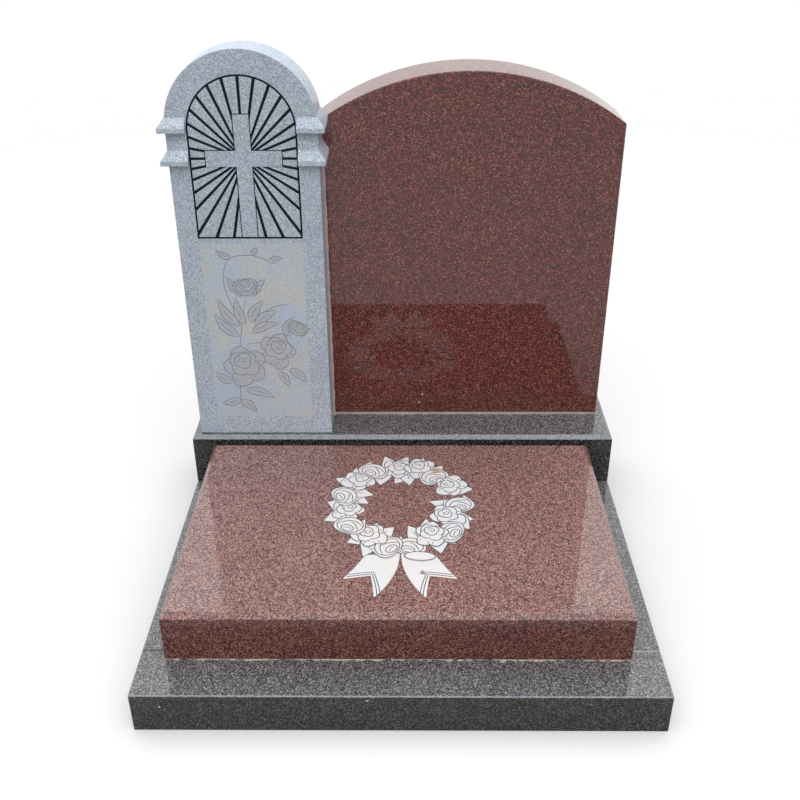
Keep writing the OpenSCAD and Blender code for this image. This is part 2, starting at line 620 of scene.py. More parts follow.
class Finishes:
    """Every finish of the memorial, each built once.

    Args:
        groups: the shared node groups.
        panel_low: the lowest corner of the pillar's smooth panel.
        panel_high: its highest corner.
    """

    def __init__(self, groups: Sharing, panel_low: Place, panel_high: Place) -> None:
        """Builds the finishes."""
        self.groups = groups
        self._build_dark()
        self._build_reds()
        self._build_light(panel_low, panel_high)
        self._build_artwork()
        self._build_mortars()

    def _build_dark(self) -> None:
        """Builds the polished dark granite, and the pale bluish finish of its up-sloping arrises that
        paints the sky's highlight on them.
        """
        kerb_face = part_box("front_kerb")[0].y
        specks = tuple(
            Mark((x, kerb_face, z), 0.003, (0.75, 0.75, 0.74))
            for x, z in ((-0.445, 0.062), (-0.061, 0.079))
        )
        self.dark = Granite(
            name="dark_granite",
            minerals=(
                (0.0, (0.008, 0.008, 0.008)),
                (0.3, (0.035, 0.035, 0.036)),
                (0.6, (0.1, 0.098, 0.096)),
                (0.88, (0.24, 0.235, 0.23)),
            ),
            fleck=(0.008, 0.008, 0.009), fleck_from=0.8, per_metre=500.0,
            roughness=0.4, body_index=1.15,
            coat_up=1.0, coat_side=0.36, coat_roughness=0.03, coat_index=1.55,
            mottling=0.06, dust_and_sheen=0.3, dust_and_sheen_tone=(0.44, 0.44, 0.45), marks=specks,
        ).build(self.groups)
        # painted highlight: a pale bluish colour on the up-sloping arrises stands in for the sky that they
        # reflect
        self.arris_highlight = Granite(
            name="painted_arris_highlight",
            minerals=(
                (0.0, (0.2, 0.23, 0.27)),
                (0.34, (0.3, 0.34, 0.39)),
                (0.66, (0.4, 0.44, 0.49)),
                (0.87, (0.5, 0.54, 0.58)),
            ),
            fleck=(0.12, 0.13, 0.15), fleck_from=0.85, per_metre=500.0,
            roughness=0.6, body_index=1.45,
            coat_up=0.0, coat_side=0.0, coat_roughness=0.1, coat_index=1.4,
            mottling=0.06, dust_and_sheen=0.3, dust_and_sheen_tone=(0.3, 0.31, 0.31),
        ).build(self.groups)

    def _build_reds(self) -> None:
        """Builds the red granites of the cover slab and of the headstone."""
        stone_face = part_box("headstone")[0].y
        chips = (
            Mark((0.0493, stone_face, 0.276), 0.003, (0.85, 0.84, 0.82)),
            Mark((0.0414, stone_face, 0.2534), 0.0024, (0.8, 0.79, 0.77)),
        )
        self.slab_red = Granite(
            name="slab_red_granite",
            minerals=(
                (0.0, (0.04, 0.01, 0.009)),
                (0.28, (0.16, 0.05, 0.043)),
                (0.6, (0.34, 0.12, 0.1)),
                (0.88, (0.52, 0.27, 0.23)),
            ),
            fleck=(0.015, 0.01, 0.012), fleck_from=0.82, per_metre=470.0,
            roughness=0.4, body_index=1.25,
            coat_up=1.0, coat_side=0.45, coat_roughness=0.03, coat_index=1.5,
            mottling=0.06, dust_and_sheen=0.31, dust_and_sheen_tone=(0.56, 0.38, 0.35),
        ).build(self.groups)
        self.headstone_red = Granite(
            name="headstone_red_granite",
            minerals=(
                (0.0, (0.035, 0.008, 0.006)),
                (0.28, (0.145, 0.026, 0.02)),
                (0.6, (0.295, 0.056, 0.043)),
                (0.88, (0.5, 0.17, 0.14)),
            ),
            fleck=(0.012, 0.006, 0.005), fleck_from=0.8, per_metre=470.0,
            roughness=0.4, body_index=1.05,
            coat_up=1.0, coat_side=1.0, coat_roughness=0.003, coat_index=1.53,
            mottling=0.06, dust_and_sheen=0.3, dust_and_sheen_tone=(0.42, 0.25, 0.22), marks=chips,
        ).build(self.groups)

    def _build_light(self, panel_low: Place, panel_high: Place) -> None:
        """Builds the light granite of the pillar, with its smooth panel.

        Args:
            panel_low: the panel's lowest corner.
            panel_high: its highest corner.
        """
        self.light = PanelledGranite(
            name="light_granite",
            minerals=(
                (0.0, (0.42, 0.5, 0.6)),
                (0.25, (0.6, 0.7, 0.83)),
                (0.6, (0.72, 0.82, 0.93)),
                (0.88, (0.82, 0.9, 0.97)),
            ),
            fleck=(0.24, 0.28, 0.34), fleck_from=0.84, per_metre=480.0,
            roughness=0.45, body_index=1.3,
            coat_up=0.4, coat_side=0.45, coat_roughness=0.12, coat_index=1.4,
            # the pale blue tone laid on what faces up is partly dust and partly painted sky sheen
            mottling=0.05, dust_and_sheen=0.22, dust_and_sheen_tone=(0.5, 0.61, 0.77),
            low=panel_low, high=panel_high,
            cool=(0.65, 0.76, 0.92), warm=(0.78, 0.78, 0.72), cover=0.62,
        ).build(self.groups)

    def _build_artwork(self) -> None:
        """Builds the wreath's white, the etched lines, the panel's petals and the paint."""
        slab_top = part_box("ledger")[1].z
        stains = (
            Mark((0.077, 0.0935, slab_top), 0.0115, (0.62, 0.36, 0.12), 0.85),
            Mark((0.043, -0.2455, slab_top), 0.007, (0.1, 0.12, 0.08), 0.8),
        )
        self.white = Etching(
            name="white_etching", colour=(0.77, 0.81, 0.86), drift=(0.86, 0.82, 0.8), roughness=0.6,
            grain_colour=(0.68, 0.64, 0.65), grain_share=0.4, marks=stains,
        ).build(self.groups)
        self.grey_line = Etching(
            name="grey_line", colour=(0.1, 0.095, 0.1), roughness=0.6,
            grain_colour=(0.06, 0.055, 0.055), grain_share=0.5,
        ).build(self.groups)
        self.panel_line = Etching(
            name="panel_line", colour=(0.24, 0.27, 0.33), roughness=0.6,
            grain_colour=(0.08, 0.09, 0.12), grain_share=0.8,
        ).build(self.groups)
        self.petals = Etching(
            name="panel_petals", colour=(0.62, 0.69, 0.82), drift=(0.67, 0.68, 0.68), roughness=0.5,
            grain_colour=(0.34, 0.38, 0.46), grain_share=0.36,
        ).build(self.groups)
        self.paint = Etching(
            name="black_paint", colour=(0.004, 0.006, 0.011), roughness=0.5, shine=0.12,
            grain_colour=(0.012, 0.014, 0.02), grain_share=0.5,
        ).build(self.groups)

    def _build_mortars(self) -> None:
        """Builds the pinkish mortar of the beds and the corner, the white one, and the near-black one that
        paints the shadow line in the left kerb joint and along the pillar's foot.
        """
        self.pale_mortar = Mortar(
            name="pale_mortar", pale=(0.78, 0.66, 0.58), dark=(0.55, 0.43, 0.37),
        ).build(self.groups)
        self.white_mortar = Mortar(
            name="white_mortar", pale=(0.72, 0.71, 0.68), dark=(0.4, 0.39, 0.38),
        ).build(self.groups)
        # painted shade: a near-black mortar laid where the joints show only a shadow line
        self.painted_gap_shadow = Mortar(
            name="painted_gap_shadow", pale=(0.03, 0.03, 0.03), dark=(0.015, 0.015, 0.015),
        ).build(self.groups)


# ---------------------------------------------------------------- pieces


def finish_piece(
    bm: BMesh, name: str, material: Material, slot: Slot, *nodes: str
) -> bpy.types.Object:
    """Turns a bmesh into a piece of the memorial.

    Args:
        bm: the shape, in place; it is freed.
        name: the piece's name.
        material: its finish.
        slot: the record's slot for that finish; it is not used.
        nodes: the solids that it stands for.

    Returns:
        The new object.
    """
    mesh = bpy.data.meshes.new(name)
    bm.to_mesh(mesh)
    bm.free()
    mesh.materials.append(material)
    piece = bpy.data.objects.new(name, mesh)
    bpy.context.scene.collection.objects.link(piece)
    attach(piece, BODY)
    if nodes:
        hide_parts(*nodes)
    LOG.info("%s: %d faces", name, len(mesh.polygons))
    return piece


# The least angle of an edge that counts as an arris
SHARP = math.radians(25.0)


def smooth_curves(bm: BMesh, limit: float = math.radians(12.0)) -> None:
    """Shades curved faces smoothly and keeps sharper edges crisp.

    Args:
        bm: the shape.
        limit: the angle from which an edge is crisp.
    """
    for face in bm.faces:
        face.smooth = True
    for edge in bm.edges:
        edge.smooth = edge.is_manifold and edge.calc_face_angle() < limit


def moved(grown: dict) -> list[BMVert]:
    """Gives the vertices that an extrusion has made."""
    return [item for item in grown["geom"] if isinstance(item, BMVert)]


def merged_solid(node: str) -> BMesh:
    """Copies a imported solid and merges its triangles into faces.

    Args:
        node: the solid's name.

    Returns:
        The shape as a bmesh.
    """
    bm = bmesh.new()
    bm.from_mesh(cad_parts[node].data)
    bmesh.ops.remove_doubles(bm, verts=bm.verts, dist=0.002 * MM)
    bmesh.ops.dissolve_limit(bm, angle_limit=math.radians(0.5), verts=bm.verts, edges=bm.edges)
    return bm


def block(low: Vector, high: Vector) -> BMesh:
    """Makes a box.

    Args:
        low: its lowest corner.
        high: its highest corner.

    Returns:
        The box as a bmesh.
    """
    bm = bmesh.new()
    bmesh.ops.create_cube(bm, size=1.0)
    bmesh.ops.scale(bm, vec=high - low, verts=bm.verts)
    bmesh.ops.translate(bm, vec=(low + high) / 2, verts=bm.verts)
    return bm


@dataclass
class Stone:
    """One stone, shaped as its solid, with the arrises eased as a mason leaves them.

    Fields: node is the solid's name, name the piece's, slot its finish's, arris the width of
    the easing, keep a test that leaves an edge sharp, and the last field the finish of the faces that
    slope upwards, pale to paint the sky's highlight on them, or None where they are polished like the rest.
    """

    node: str
    name: str
    slot: Slot
    arris: float = 1.2 * MM
    keep: Callable[[BMEdge], bool] = field(default=lambda edge: False)
    arris_highlight: Material | None = None

    def ease(self, bm: BMesh) -> None:
        """Bevels every sharp edge that keep doesn't hold back.

        Args:
            bm: the stone's shape.
        """
        sharp = [
            edge
            for edge in bm.edges
            if edge.is_manifold and edge.calc_face_angle() > SHARP and not self.keep(edge)
        ]
        bmesh.ops.bevel(
            bm, geom=sharp, offset=self.arris, offset_type="OFFSET", affect="EDGES",
            segments=2, profile=0.5, material=-1, clamp_overlap=True,
        )

    @staticmethod
    def _slopes_up(face: BMFace) -> bool:
        """True for a face that slopes upwards, neither upright nor flat on top."""
        return 0.3 < face.normal.z < 0.95

    def build(self, material: Material) -> bpy.types.Object:
        """Builds the piece.

        Args:
            material: the finish of its polished or tooled faces.

        Returns:
            The new object.
        """
        bm = merged_solid(self.node)
        self.ease(bm)
        smooth_curves(bm)
        # faces that slope upwards take the finish with the painted highlight, where a stone has one
        for face in bm.faces:
            face.material_index = int(self.arris_highlight is not None and self._slopes_up(face))
        piece = finish_piece(bm, self.name, material, self.slot, self.node)
        if self.arris_highlight:
            piece.data.materials.append(self.arris_highlight)
        return piece


@dataclass
class Kerbs:
    """The three low kerbs, white pointing in the right joint and a near-black strip that paints the shadow
    in the left one.

    Fields: arris is the width of the easing, joint the width of a joint as it shows, and proud
    how far its mortar stands over the kerbs.
    """

    arris: float = 2.2 * MM
    joint: float = 1.9 * MM
    proud: float = 0.15 * MM

    def build(self, finishes: Finishes) -> None:
        """Builds the kerbs and their joints, the left joint a near-black strip that paints its shadow and
        the right one white pointing.

        Args:
            finishes: the memorial's finishes.
        """
        joint_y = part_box("front_kerb")[1].y

        def at_joint(edge: BMEdge) -> bool:
            """True for an edge that lies on the joint between the kerbs."""
            return all(abs(vert.co.y - joint_y) < 0.1 * MM for vert in edge.verts)

        for place in ("front", "left", "right"):
            stone = Stone(
                f"{place}_kerb", f"kerb_{place}", Slot.DARK, self.arris, at_joint, finishes.arris_highlight
            )
            stone.build(finishes.dark)
        # the left joint's near-black strip is painted shadow; the right joint is white pointing
        for place, material in (("left", finishes.painted_gap_shadow), ("right", finishes.white_mortar)):
            low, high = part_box(f"{place}_kerb")
            edge = self.arris
            strip = block(
                Vector((low.x + edge, joint_y - self.joint / 2, low.z + edge)),
                Vector((high.x - edge, joint_y + self.joint / 2, high.z + self.proud)),
            )
            finish_piece(strip, f"{place}_joint", material, Slot.MORTAR)


@dataclass
class Bed:
    """A bed of mortar, uneven along its faces.

    Fields: node is the solid's name, name the piece's, step the distance between its cuts,
    wander how far its faces stray, and bulge how far the front has been squeezed out.
    """

    node: str
    name: str
    step: float = 6 * MM
    wander: float = 1.4 * MM
    bulge: float = 0.0

    def build(self, material: Material) -> bpy.types.Object:
        """Builds the piece.

        Args:
            material: the mortar.

        Returns:
            The new object.
        """
        bm = merged_solid(self.node)
        low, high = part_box(self.node)
        cuts = int((high.x - low.x) / self.step)
        for index in range(1, cuts):
            across = Vector((low.x + index * self.step, 0.0, 0.0))
            geometry = [*bm.verts, *bm.edges, *bm.faces]
            bmesh.ops.bisect_plane(bm, geom=geometry, plane_co=across, plane_no=(1.0, 0.0, 0.0))
        for vert in bm.verts:
            stray = noise.noise(vert.co * 90.0) + 0.5 * noise.noise(vert.co * 330.0)
            at_front = vert.co.y < (low.y + high.y) / 2
            vert.co.y += self.wander * stray - (self.bulge if at_front else 0.0)
        smooth_curves(bm, math.radians(30.0))
        return finish_piece(bm, self.name, material, Slot.MORTAR, self.node)


# ---------------------------------------------------------------- artwork


@dataclass
class Drawing:
    """Artwork on one face of a stone, drawn in millimetres.

    A shape is a thin plate whose top lies level steps above the face, so that a later level
    hides what it covers, and a line is a narrow ribbon just over its level.

    Fields: place takes the drawing's plane to the stone, step is the rise of one level, sink
    how deep the plates reach into the stone, line_width the usual width of a line, line_rise
    how far a line lies over its level and line_depth how thick it is. petal_rings are a rose's
    rings: each one's share of the radius, its number of petals, the degrees that a petal spans
    and the share of its reach that a petal has at its ends. shapes and lines are the two meshes
    as they grow.
    """

    place: Matrix
    step: float = 0.09
    sink: float = 0.2
    line_width: float = 2.0
    line_rise: float = 0.04
    line_depth: float = 0.1
    petal_rings: tuple[tuple[float, int, float, float], ...] = (
        (1.0, 5, 86.0, 0.56), (0.68, 4, 108.0, 0.66), (0.4, 3, 145.0, 0.7),
    )
    shapes: BMesh = field(default_factory=bmesh.new)
    lines: BMesh = field(default_factory=bmesh.new)

    @property
    def fine_width(self) -> float:
        """The width of a fine line, for a rib, a crease or a curl."""
        return 0.8 * self.line_width

    def _at(self, point: Sequence[float], height: float) -> Vector:
        """Gives a drawing point, at a height over the face in millimetres, on the stone."""
        return self.place @ Vector((point[0] * MM, point[1] * MM, height * MM))

    def _rise(self, height: float) -> Vector:
        """Gives the way up from the face by a height in millimetres."""
        return self.place.to_3x3() @ Vector((0.0, 0.0, height * MM))

    def shape(self, outline: Sequence[Point], level: float) -> None:
        """Lays a plate.

        Args:
            outline: its closed outline.
            level: how many steps its top lies above the face.
        """
        verts = [self.shapes.verts.new(self._at(point, -self.sink)) for point in outline]
        edges = [self.shapes.edges.new((a, b)) for a, b in zip(verts, verts[1:] + verts[:1])]
        made = bmesh.ops.contextual_create(self.shapes, geom=edges)
        top = bmesh.ops.extrude_face_region(self.shapes, geom=made["faces"])
        rise = self._rise(self.sink + level * self.step)
        bmesh.ops.translate(self.shapes, vec=rise, verts=moved(top))

    def line(
        self, path: Sequence[Point], level: float, width: float | None = None, taper: bool = True
    ) -> None:
        """Draws a line as a ribbon that thins towards its ends.

        Args:
            path: the points along it.
            level: the level of the shape that it lies on.
            width: its width, or None for the usual one.
            taper: False for a line of one width.
        """
        half = (width or self.line_width) / 2
        height = level * self.step + self.line_rise
        edge = None
        for index, point in enumerate(path):
            before = path[max(index - 1, 0)]
            after = path[min(index + 1, len(path) - 1)]
            along = Vector((after[0] - before[0], after[1] - before[1])).normalized()
            share = index / (len(path) - 1)
            thin = 0.35 + 0.65 * min(1.0, 6.0 * min(share, 1.0 - share)) if taper else 1.0
            aside = Vector((-along.y, along.x)) * half * thin
            ends = [self._at((point[0] + s * aside.x, point[1] + s * aside.y), height) for s in (1, -1)]
            if edge is None:
                edge = self.lines.edges.new([self.lines.verts.new(end) for end in ends])
            else:
                edge = self._lengthen(edge, ends)

    def _lengthen(self, last: BMEdge, ends: Sequence[Vector]) -> BMEdge:
        """Grows a ribbon by one stretch.

        Args:
            last: the edge across the ribbon where it ends so far.
            ends: where both ends of the new edge lie, in the order of the last one's.

        Returns:
            The new edge across the ribbon.
        """
        old = last.verts[:]
        grown = bmesh.ops.extrude_edge_only(self.lines, edges=[last])["geom"]
        edge = next(
            item for item in grown if isinstance(item, BMEdge) and not set(item.verts) & set(old)
        )
        first = next(
            vert for vert in edge.verts
            if any(side.other_vert(vert) is old[0] for side in vert.link_edges)
        )
        first.co, edge.other_vert(first).co = ends
        return edge

    def leaf(
        self, root: Point, tip: Point, half: float, level: float, rib: bool, bend: float = 0.0
    ) -> None:
        """Draws a pointed leaf.

        Args:
            root: where it grows from.
            tip: its point.
            half: half its greatest width.
            level: its level.
            rib: True draws its middle rib.
            bend: how far its middle bows to the left, as a share of its length.
        """
        start, end = Vector(root), Vector(tip)
        along = end - start
        aside = Vector((-along.y, along.x)).normalized()
        steps = 12

        def spot(share: float, side: float) -> Point:
            """Finds a point of the leaf.

            Args:
                share: how far it lies from the root towards the tip.
                side: 1 for the left edge, -1 for the right one and 0 for the middle.

            Returns:
                The point.
            """
            bow = bend * along.length * math.sin(math.pi * share)
            swell = half * math.sin(math.pi * share ** 0.8) ** 0.9 * (1.15 - 0.3 * share)
            found = start + along * share + aside * (bow + side * swell)
            return (found.x, found.y)

        left = [spot(i / steps, 1.0) for i in range(steps + 1)]
        right = [spot(i / steps, -1.0) for i in range(steps, -1, -1)]
        self.shape(left + right[1:-1], level)
        self.line(left, level)
        self.line(right, level)
        if rib:
            self.line([spot(0.2 + 0.5 * i / 6, 0.0) for i in range(7)], level, self.fine_width)

    @staticmethod
    def _petal(
        middle: Vector, reach: float, angle: float, spread: float, base: float, steps: int = 14
    ) -> list[Point]:
        """Gives the rim of a petal, full in its middle and with a small fold.

        Args:
            middle: the middle of its ring.
            reach: how far the rim lies from there.
            angle: the way that the petal faces, in degrees.
            spread: the angle that it spans, in degrees.
            base: the share of its reach that it has at its ends.
            steps: how many stretches the rim has.

        Returns:
            The rim's points.
        """
        rim = []
        for step in range(steps + 1):
            part = step / steps
            swing = math.radians(angle + spread * (part - 0.5))
            bulge = base + (1.0 - base) * math.sin(math.pi * part) ** 0.55
            bulge += 0.07 * math.exp(-(((part - 0.42) * 8.0) ** 2))
            rim.append((
                middle.x + reach * bulge * math.cos(swing),
                middle.y + reach * bulge * math.sin(swing),
            ))
        return rim

    def rose(self, centre: Point, radius: float, facing: float, level: float) -> None:
        """Draws an open rose: three rings of petals round a curl.

        Args:
            centre: its middle.
            radius: its outer radius.
            facing: the way that it leans, in degrees.
            level: its first level; it takes five.
        """
        lean = Vector((math.cos(math.radians(facing)), math.sin(math.radians(facing))))
        for ring, (share, count, spread, base) in enumerate(self.petal_rings):
            middle = Vector(centre) + lean * radius * 0.14 * ring
            for index in range(count):
                turn = index * 360.0 / count + 9.0 * math.sin(3.1 * index + facing)
                angle = facing + 37.0 * ring + turn
                reach = radius * share * (1.0 + 0.07 * math.sin(2.3 * index + facing))
                rim = self._petal(middle, reach, angle, spread, base)
                height = level + ring * 1.5 + 0.5 * (index % 2) + 0.25 * (index == count - 1)
                self.shape([*rim, (middle.x, middle.y)], height)
                self.line(rim, height)
                if ring == 0:
                    crease = [Vector(rim[4]).lerp(middle, 0.12 + 0.07 * step) for step in range(4)]
                    self.line([(point.x, point.y) for point in crease], height, self.fine_width)
        middle = Vector(centre) + lean * radius * 0.3
        curl = []
        for step in range(15):
            reach = radius * (0.04 + 0.2 * step / 14)
            swing = 0.5 * step + facing
            curl.append((
                middle.x + reach * math.cos(swing),
                middle.y + 0.8 * reach * math.sin(swing),
            ))
        self.line(curl, level + 4.6, self.fine_width)

    def bud(self, centre: Point, radius: float, facing: float, level: float) -> None:
        """Draws a half-open bud: two open petals, a cup, the egg of petals in it and its folds.

        Args:
            centre: its middle.
            radius: its outer radius.
            facing: the way that the egg lies from the folds, in degrees.
            level: its level; it takes from half a level below that to three above.
        """
        turn = math.radians(facing)
        away = Vector((math.cos(turn), math.sin(turn)))
        aside = Vector((-away.y, away.x))
        for side in (-1, 1):
            root = Vector(centre) + away * radius * 0.9
            tip = Vector(centre) - away * radius * 0.9 + aside * side * radius * 0.75
            ends = (root.x, root.y), (tip.x, tip.y)
            self.leaf(*ends, radius * 0.5, level + 0.5 * side, False, -0.16 * side)
        cup = self.oval(centre, radius * 0.8, radius * 0.92, turn)
        self.shape(cup, level + 1)
        self.line([*cup, cup[0]], level + 1, taper=False)

        def place(points: Sequence[Point]) -> list[Point]:
            """Puts points that are given as shares of the radius, across and along the bud."""
            spots = [Vector(centre) + (aside * x + away * y) * radius for x, y in points]
            return [(spot.x, spot.y) for spot in spots]

        folds = (
            ((-0.84, 0.2), (-0.2, -0.95), (0.88, -0.1)),
            ((0.72, 0.45), (0.45, -0.2), (-0.12, -0.36)),
        )
        for start, bow, end in folds:
            self.line(place(self.curve(start, bow, end)), level + 1)
        tip = place(self.oval((-0.06, 0.36), 0.46, 0.3, 0.2))
        self.shape(tip, level + 2)
        self.line([*tip, tip[0]], level + 2, taper=False)
        crease = place(self.curve((-0.4, 0.42), (-0.05, 0.2), (0.3, 0.44)))
        self.line(crease, level + 2, self.fine_width)

    @staticmethod
    def curve(start: Point, bow: Point, end: Point, steps: int = 8) -> list[Point]:
        """Gives the points of a quadratic curve.

        Args:
            start: its first point.
            bow: the point that it bows towards.
            end: its last point.
            steps: how many stretches it has.

        Returns:
            The points, with both ends.
        """
        points = []
        for step in range(steps + 1):
            t = step / steps
            x, y = [(1 - t) ** 2 * a + 2 * t * (1 - t) * b + t * t * c for a, b, c in zip(start, bow, end)]
            points.append((x, y))
        return points

    @staticmethod
    def oval(centre: Point, along: float, across: float, turn: float, steps: int = 28) -> list[Point]:
        """Gives the outline of an oval.

        Args:
            centre: its middle.
            along: half its length.
            across: half its width.
            turn: the angle of its length, in radians.
            steps: how many points it has.

        Returns:
            The outline's points.
        """
        way = Vector((math.cos(turn), math.sin(turn)))
        aside = Vector((-way.y, way.x))
        points = []
        for index in range(steps):
            angle = 2 * math.pi * index / steps
            spot = Vector(centre) + way * along * math.cos(angle) + aside * across * math.sin(angle)
            points.append((spot.x, spot.y))
        return points

    def finish(self, name: str, fill: Material, ink: Material, slot: Slot) -> None:
        """Turns the shapes into one piece and the lines, given their depth, into another.

        Args:
            name: what both names start with.
            fill: the finish of the shapes.
            ink: the finish of the lines.
            slot: the record's slot for both.
        """
        bmesh.ops.recalc_face_normals(self.shapes, faces=self.shapes.faces)
        finish_piece(self.shapes, name + "_shapes", fill, slot)
        grown = bmesh.ops.extrude_face_region(self.lines, geom=self.lines.faces[:])
        bmesh.ops.translate(self.lines, vec=self._rise(-self.line_depth), verts=moved(grown))
        bmesh.ops.recalc_face_normals(self.lines, faces=self.lines.faces)
        finish_piece(self.lines, name + "_lines", ink, slot)


class Bloom(Enum):
    """The kinds of flower in the wreath."""

    ROSE = "rose"
    BUD = "bud"


@dataclass
class Wreath:
    """A ring of roses, buds and leaves with a forked ribbon, etched on the cover slab.

    Fields: offset is the ring's middle from the slab's, flowers gives each flower's kind, its
    angle round the ring, its distance from the middle and the way that it faces, and the leaf
    lists give each leaf's angle, the distance of its point and its lean round the ring. For the
    outer and the inner leaves, root is the distance of their roots, half is half their width and
    lowest their lowest level. knot is the knot's middle, and its other fields are half its
    length and width, its turn in degrees and its level.
    """

    offset: Point = (4.0, 49.0)
    rose_radius: float = 37.0
    bud_radius: float = 30.5
    flowers: tuple[tuple[Bloom, float, float, float], ...] = (
        (Bloom.ROSE, 94, 132, 60), (Bloom.ROSE, 72, 140, 110), (Bloom.BUD, 54, 124, -60),
        (Bloom.ROSE, 31, 128, 150), (Bloom.BUD, 0, 124, -70), (Bloom.ROSE, -22, 108, 120),
        (Bloom.BUD, -42, 138, -20), (Bloom.ROSE, -58, 120, 84), (Bloom.BUD, -82, 138, -100),
        (Bloom.BUD, -101, 142, -30), (Bloom.ROSE, -122, 122, 120), (Bloom.BUD, -146, 128, -110),
        (Bloom.ROSE, -170, 116, 70), (Bloom.BUD, 166, 126, -150), (Bloom.ROSE, 138, 128, 60),
        (Bloom.BUD, 117, 138, -120),
    )
    outer_leaves: tuple[tuple[float, float, float], ...] = (
        (102, 186, 12), (85, 180, -10), (74, 182, 8), (31, 164, 12), (19, 168, -8), (-18, 162, 10),
        (-30, 166, -8), (-49, 172, 10), (-63, 180, -8), (-114, 186, 8), (-131, 168, -10),
        (-161, 172, 10), (177, 160, -6), (147, 176, 8), (128, 170, -10), (57, 172, 4),
    )
    inner_leaves: tuple[tuple[float, float, float], ...] = (
        (101, 76, 16), (75, 71, -14), (10, 62, 12), (-43, 72, 16), (-78, 74, -12), (-100, 78, 12),
        (-128, 80, -12), (178, 70, 12), (151, 68, -12), (124, 84, 14),
    )
    outer_root: float = 108.0
    outer_half: float = 23.0
    outer_lowest: float = 1.0
    inner_root: float = 138.0
    inner_half: float = 21.0
    inner_lowest: float = 1.3
    knot: Point = (39.0, -170.0)
    knot_half: Point = (31.0, 13.0)
    knot_turn: float = -3.0
    knot_level: float = 25.5

    def build(self, white: Material, ink: Material) -> None:
        """Draws the wreath.

        Args:
            white: the finish of the shapes.
            ink: the finish of the lines.
        """
        low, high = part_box("ledger")
        centre = (low + high) / 2
        place = Matrix.Translation((centre.x + self.offset[0] * MM, centre.y + self.offset[1] * MM, high.z))
        art = Drawing(place)
        self._ribbon(art)
        rings = (
            (self.outer_leaves, self.outer_root, self.outer_half, self.outer_lowest),
            (self.inner_leaves, self.inner_root, self.inner_half, self.inner_lowest),
        )
        for leaves, root_reach, half, lowest in rings:
            for index, (angle, reach, lean) in enumerate(leaves):
                root, tip = self._polar(angle - lean, root_reach), self._polar(angle, reach)
                art.leaf(root, tip, half, lowest + 0.6 * (index % 5), True, 0.07)
        for index, (kind, angle, reach, facing) in enumerate(self.flowers):
            level = 5 + 5 * (index % 4)
            if kind is Bloom.ROSE:
                art.rose(self._polar(angle, reach), self.rose_radius, facing, level)
            else:
                art.bud(self._polar(angle, reach), self.bud_radius, facing, level)
        knot = art.oval(self.knot, *self.knot_half, math.radians(self.knot_turn))
        art.shape(knot, self.knot_level)
        art.line([*knot, knot[0]], self.knot_level, taper=False)
        art.finish("wreath", white, ink, Slot.ARTWORK)

    @staticmethod
    def _polar(angle: float, reach: float) -> Point:
        """Gives the point at an angle in degrees and a distance from the ring's middle."""
        return (reach * math.cos(math.radians(angle)), reach * math.sin(math.radians(angle)))

    def _ribbon(self, art: Drawing) -> None:
        """Draws the two tails of the ribbon, the right one a mirrored left, and their hems.

        Args:
            art: the drawing on the slab.
        """
        for side in Side:

            def at(x: float, y: float) -> Point:
                """A point of the left tail, on this side."""
                return (-side.value * x, y)

            def curve(start: Point, bow: Point, end: Point) -> list[Point]:
                """A curve of this side's tail, without its last point."""
                return [at(x, y) for x, y in art.curve(start, bow, end)][:-1]

            outline = [
                *curve((-70, -165), (-92, -208), (-112, -235)),
                *curve((-112, -235), (-84, -230), (-58, -226)),
                *curve((-58, -226), (-52, -255), (-50, -287)),
                *curve((-50, -287), (-10, -240), (-1, -176)),
                at(-1, -160),
            ]
            art.shape(outline, 1)
            for gap in (5.0, 10.5):
                outer = (-108 + 0.6 * gap, -235 + 1.15 * gap)
                notch = (-58 + 0.5 * gap, -226 + gap)
                inner = (-49 + gap, -286 + 1.1 * gap)
                across = curve(outer, (-84, -230 + 1.1 * gap), notch)
                down = curve(notch, (-50 + 0.75 * gap, -255 + gap), inner)
                art.line([*across, *down, at(*inner)], 1, 1.9, taper=False)


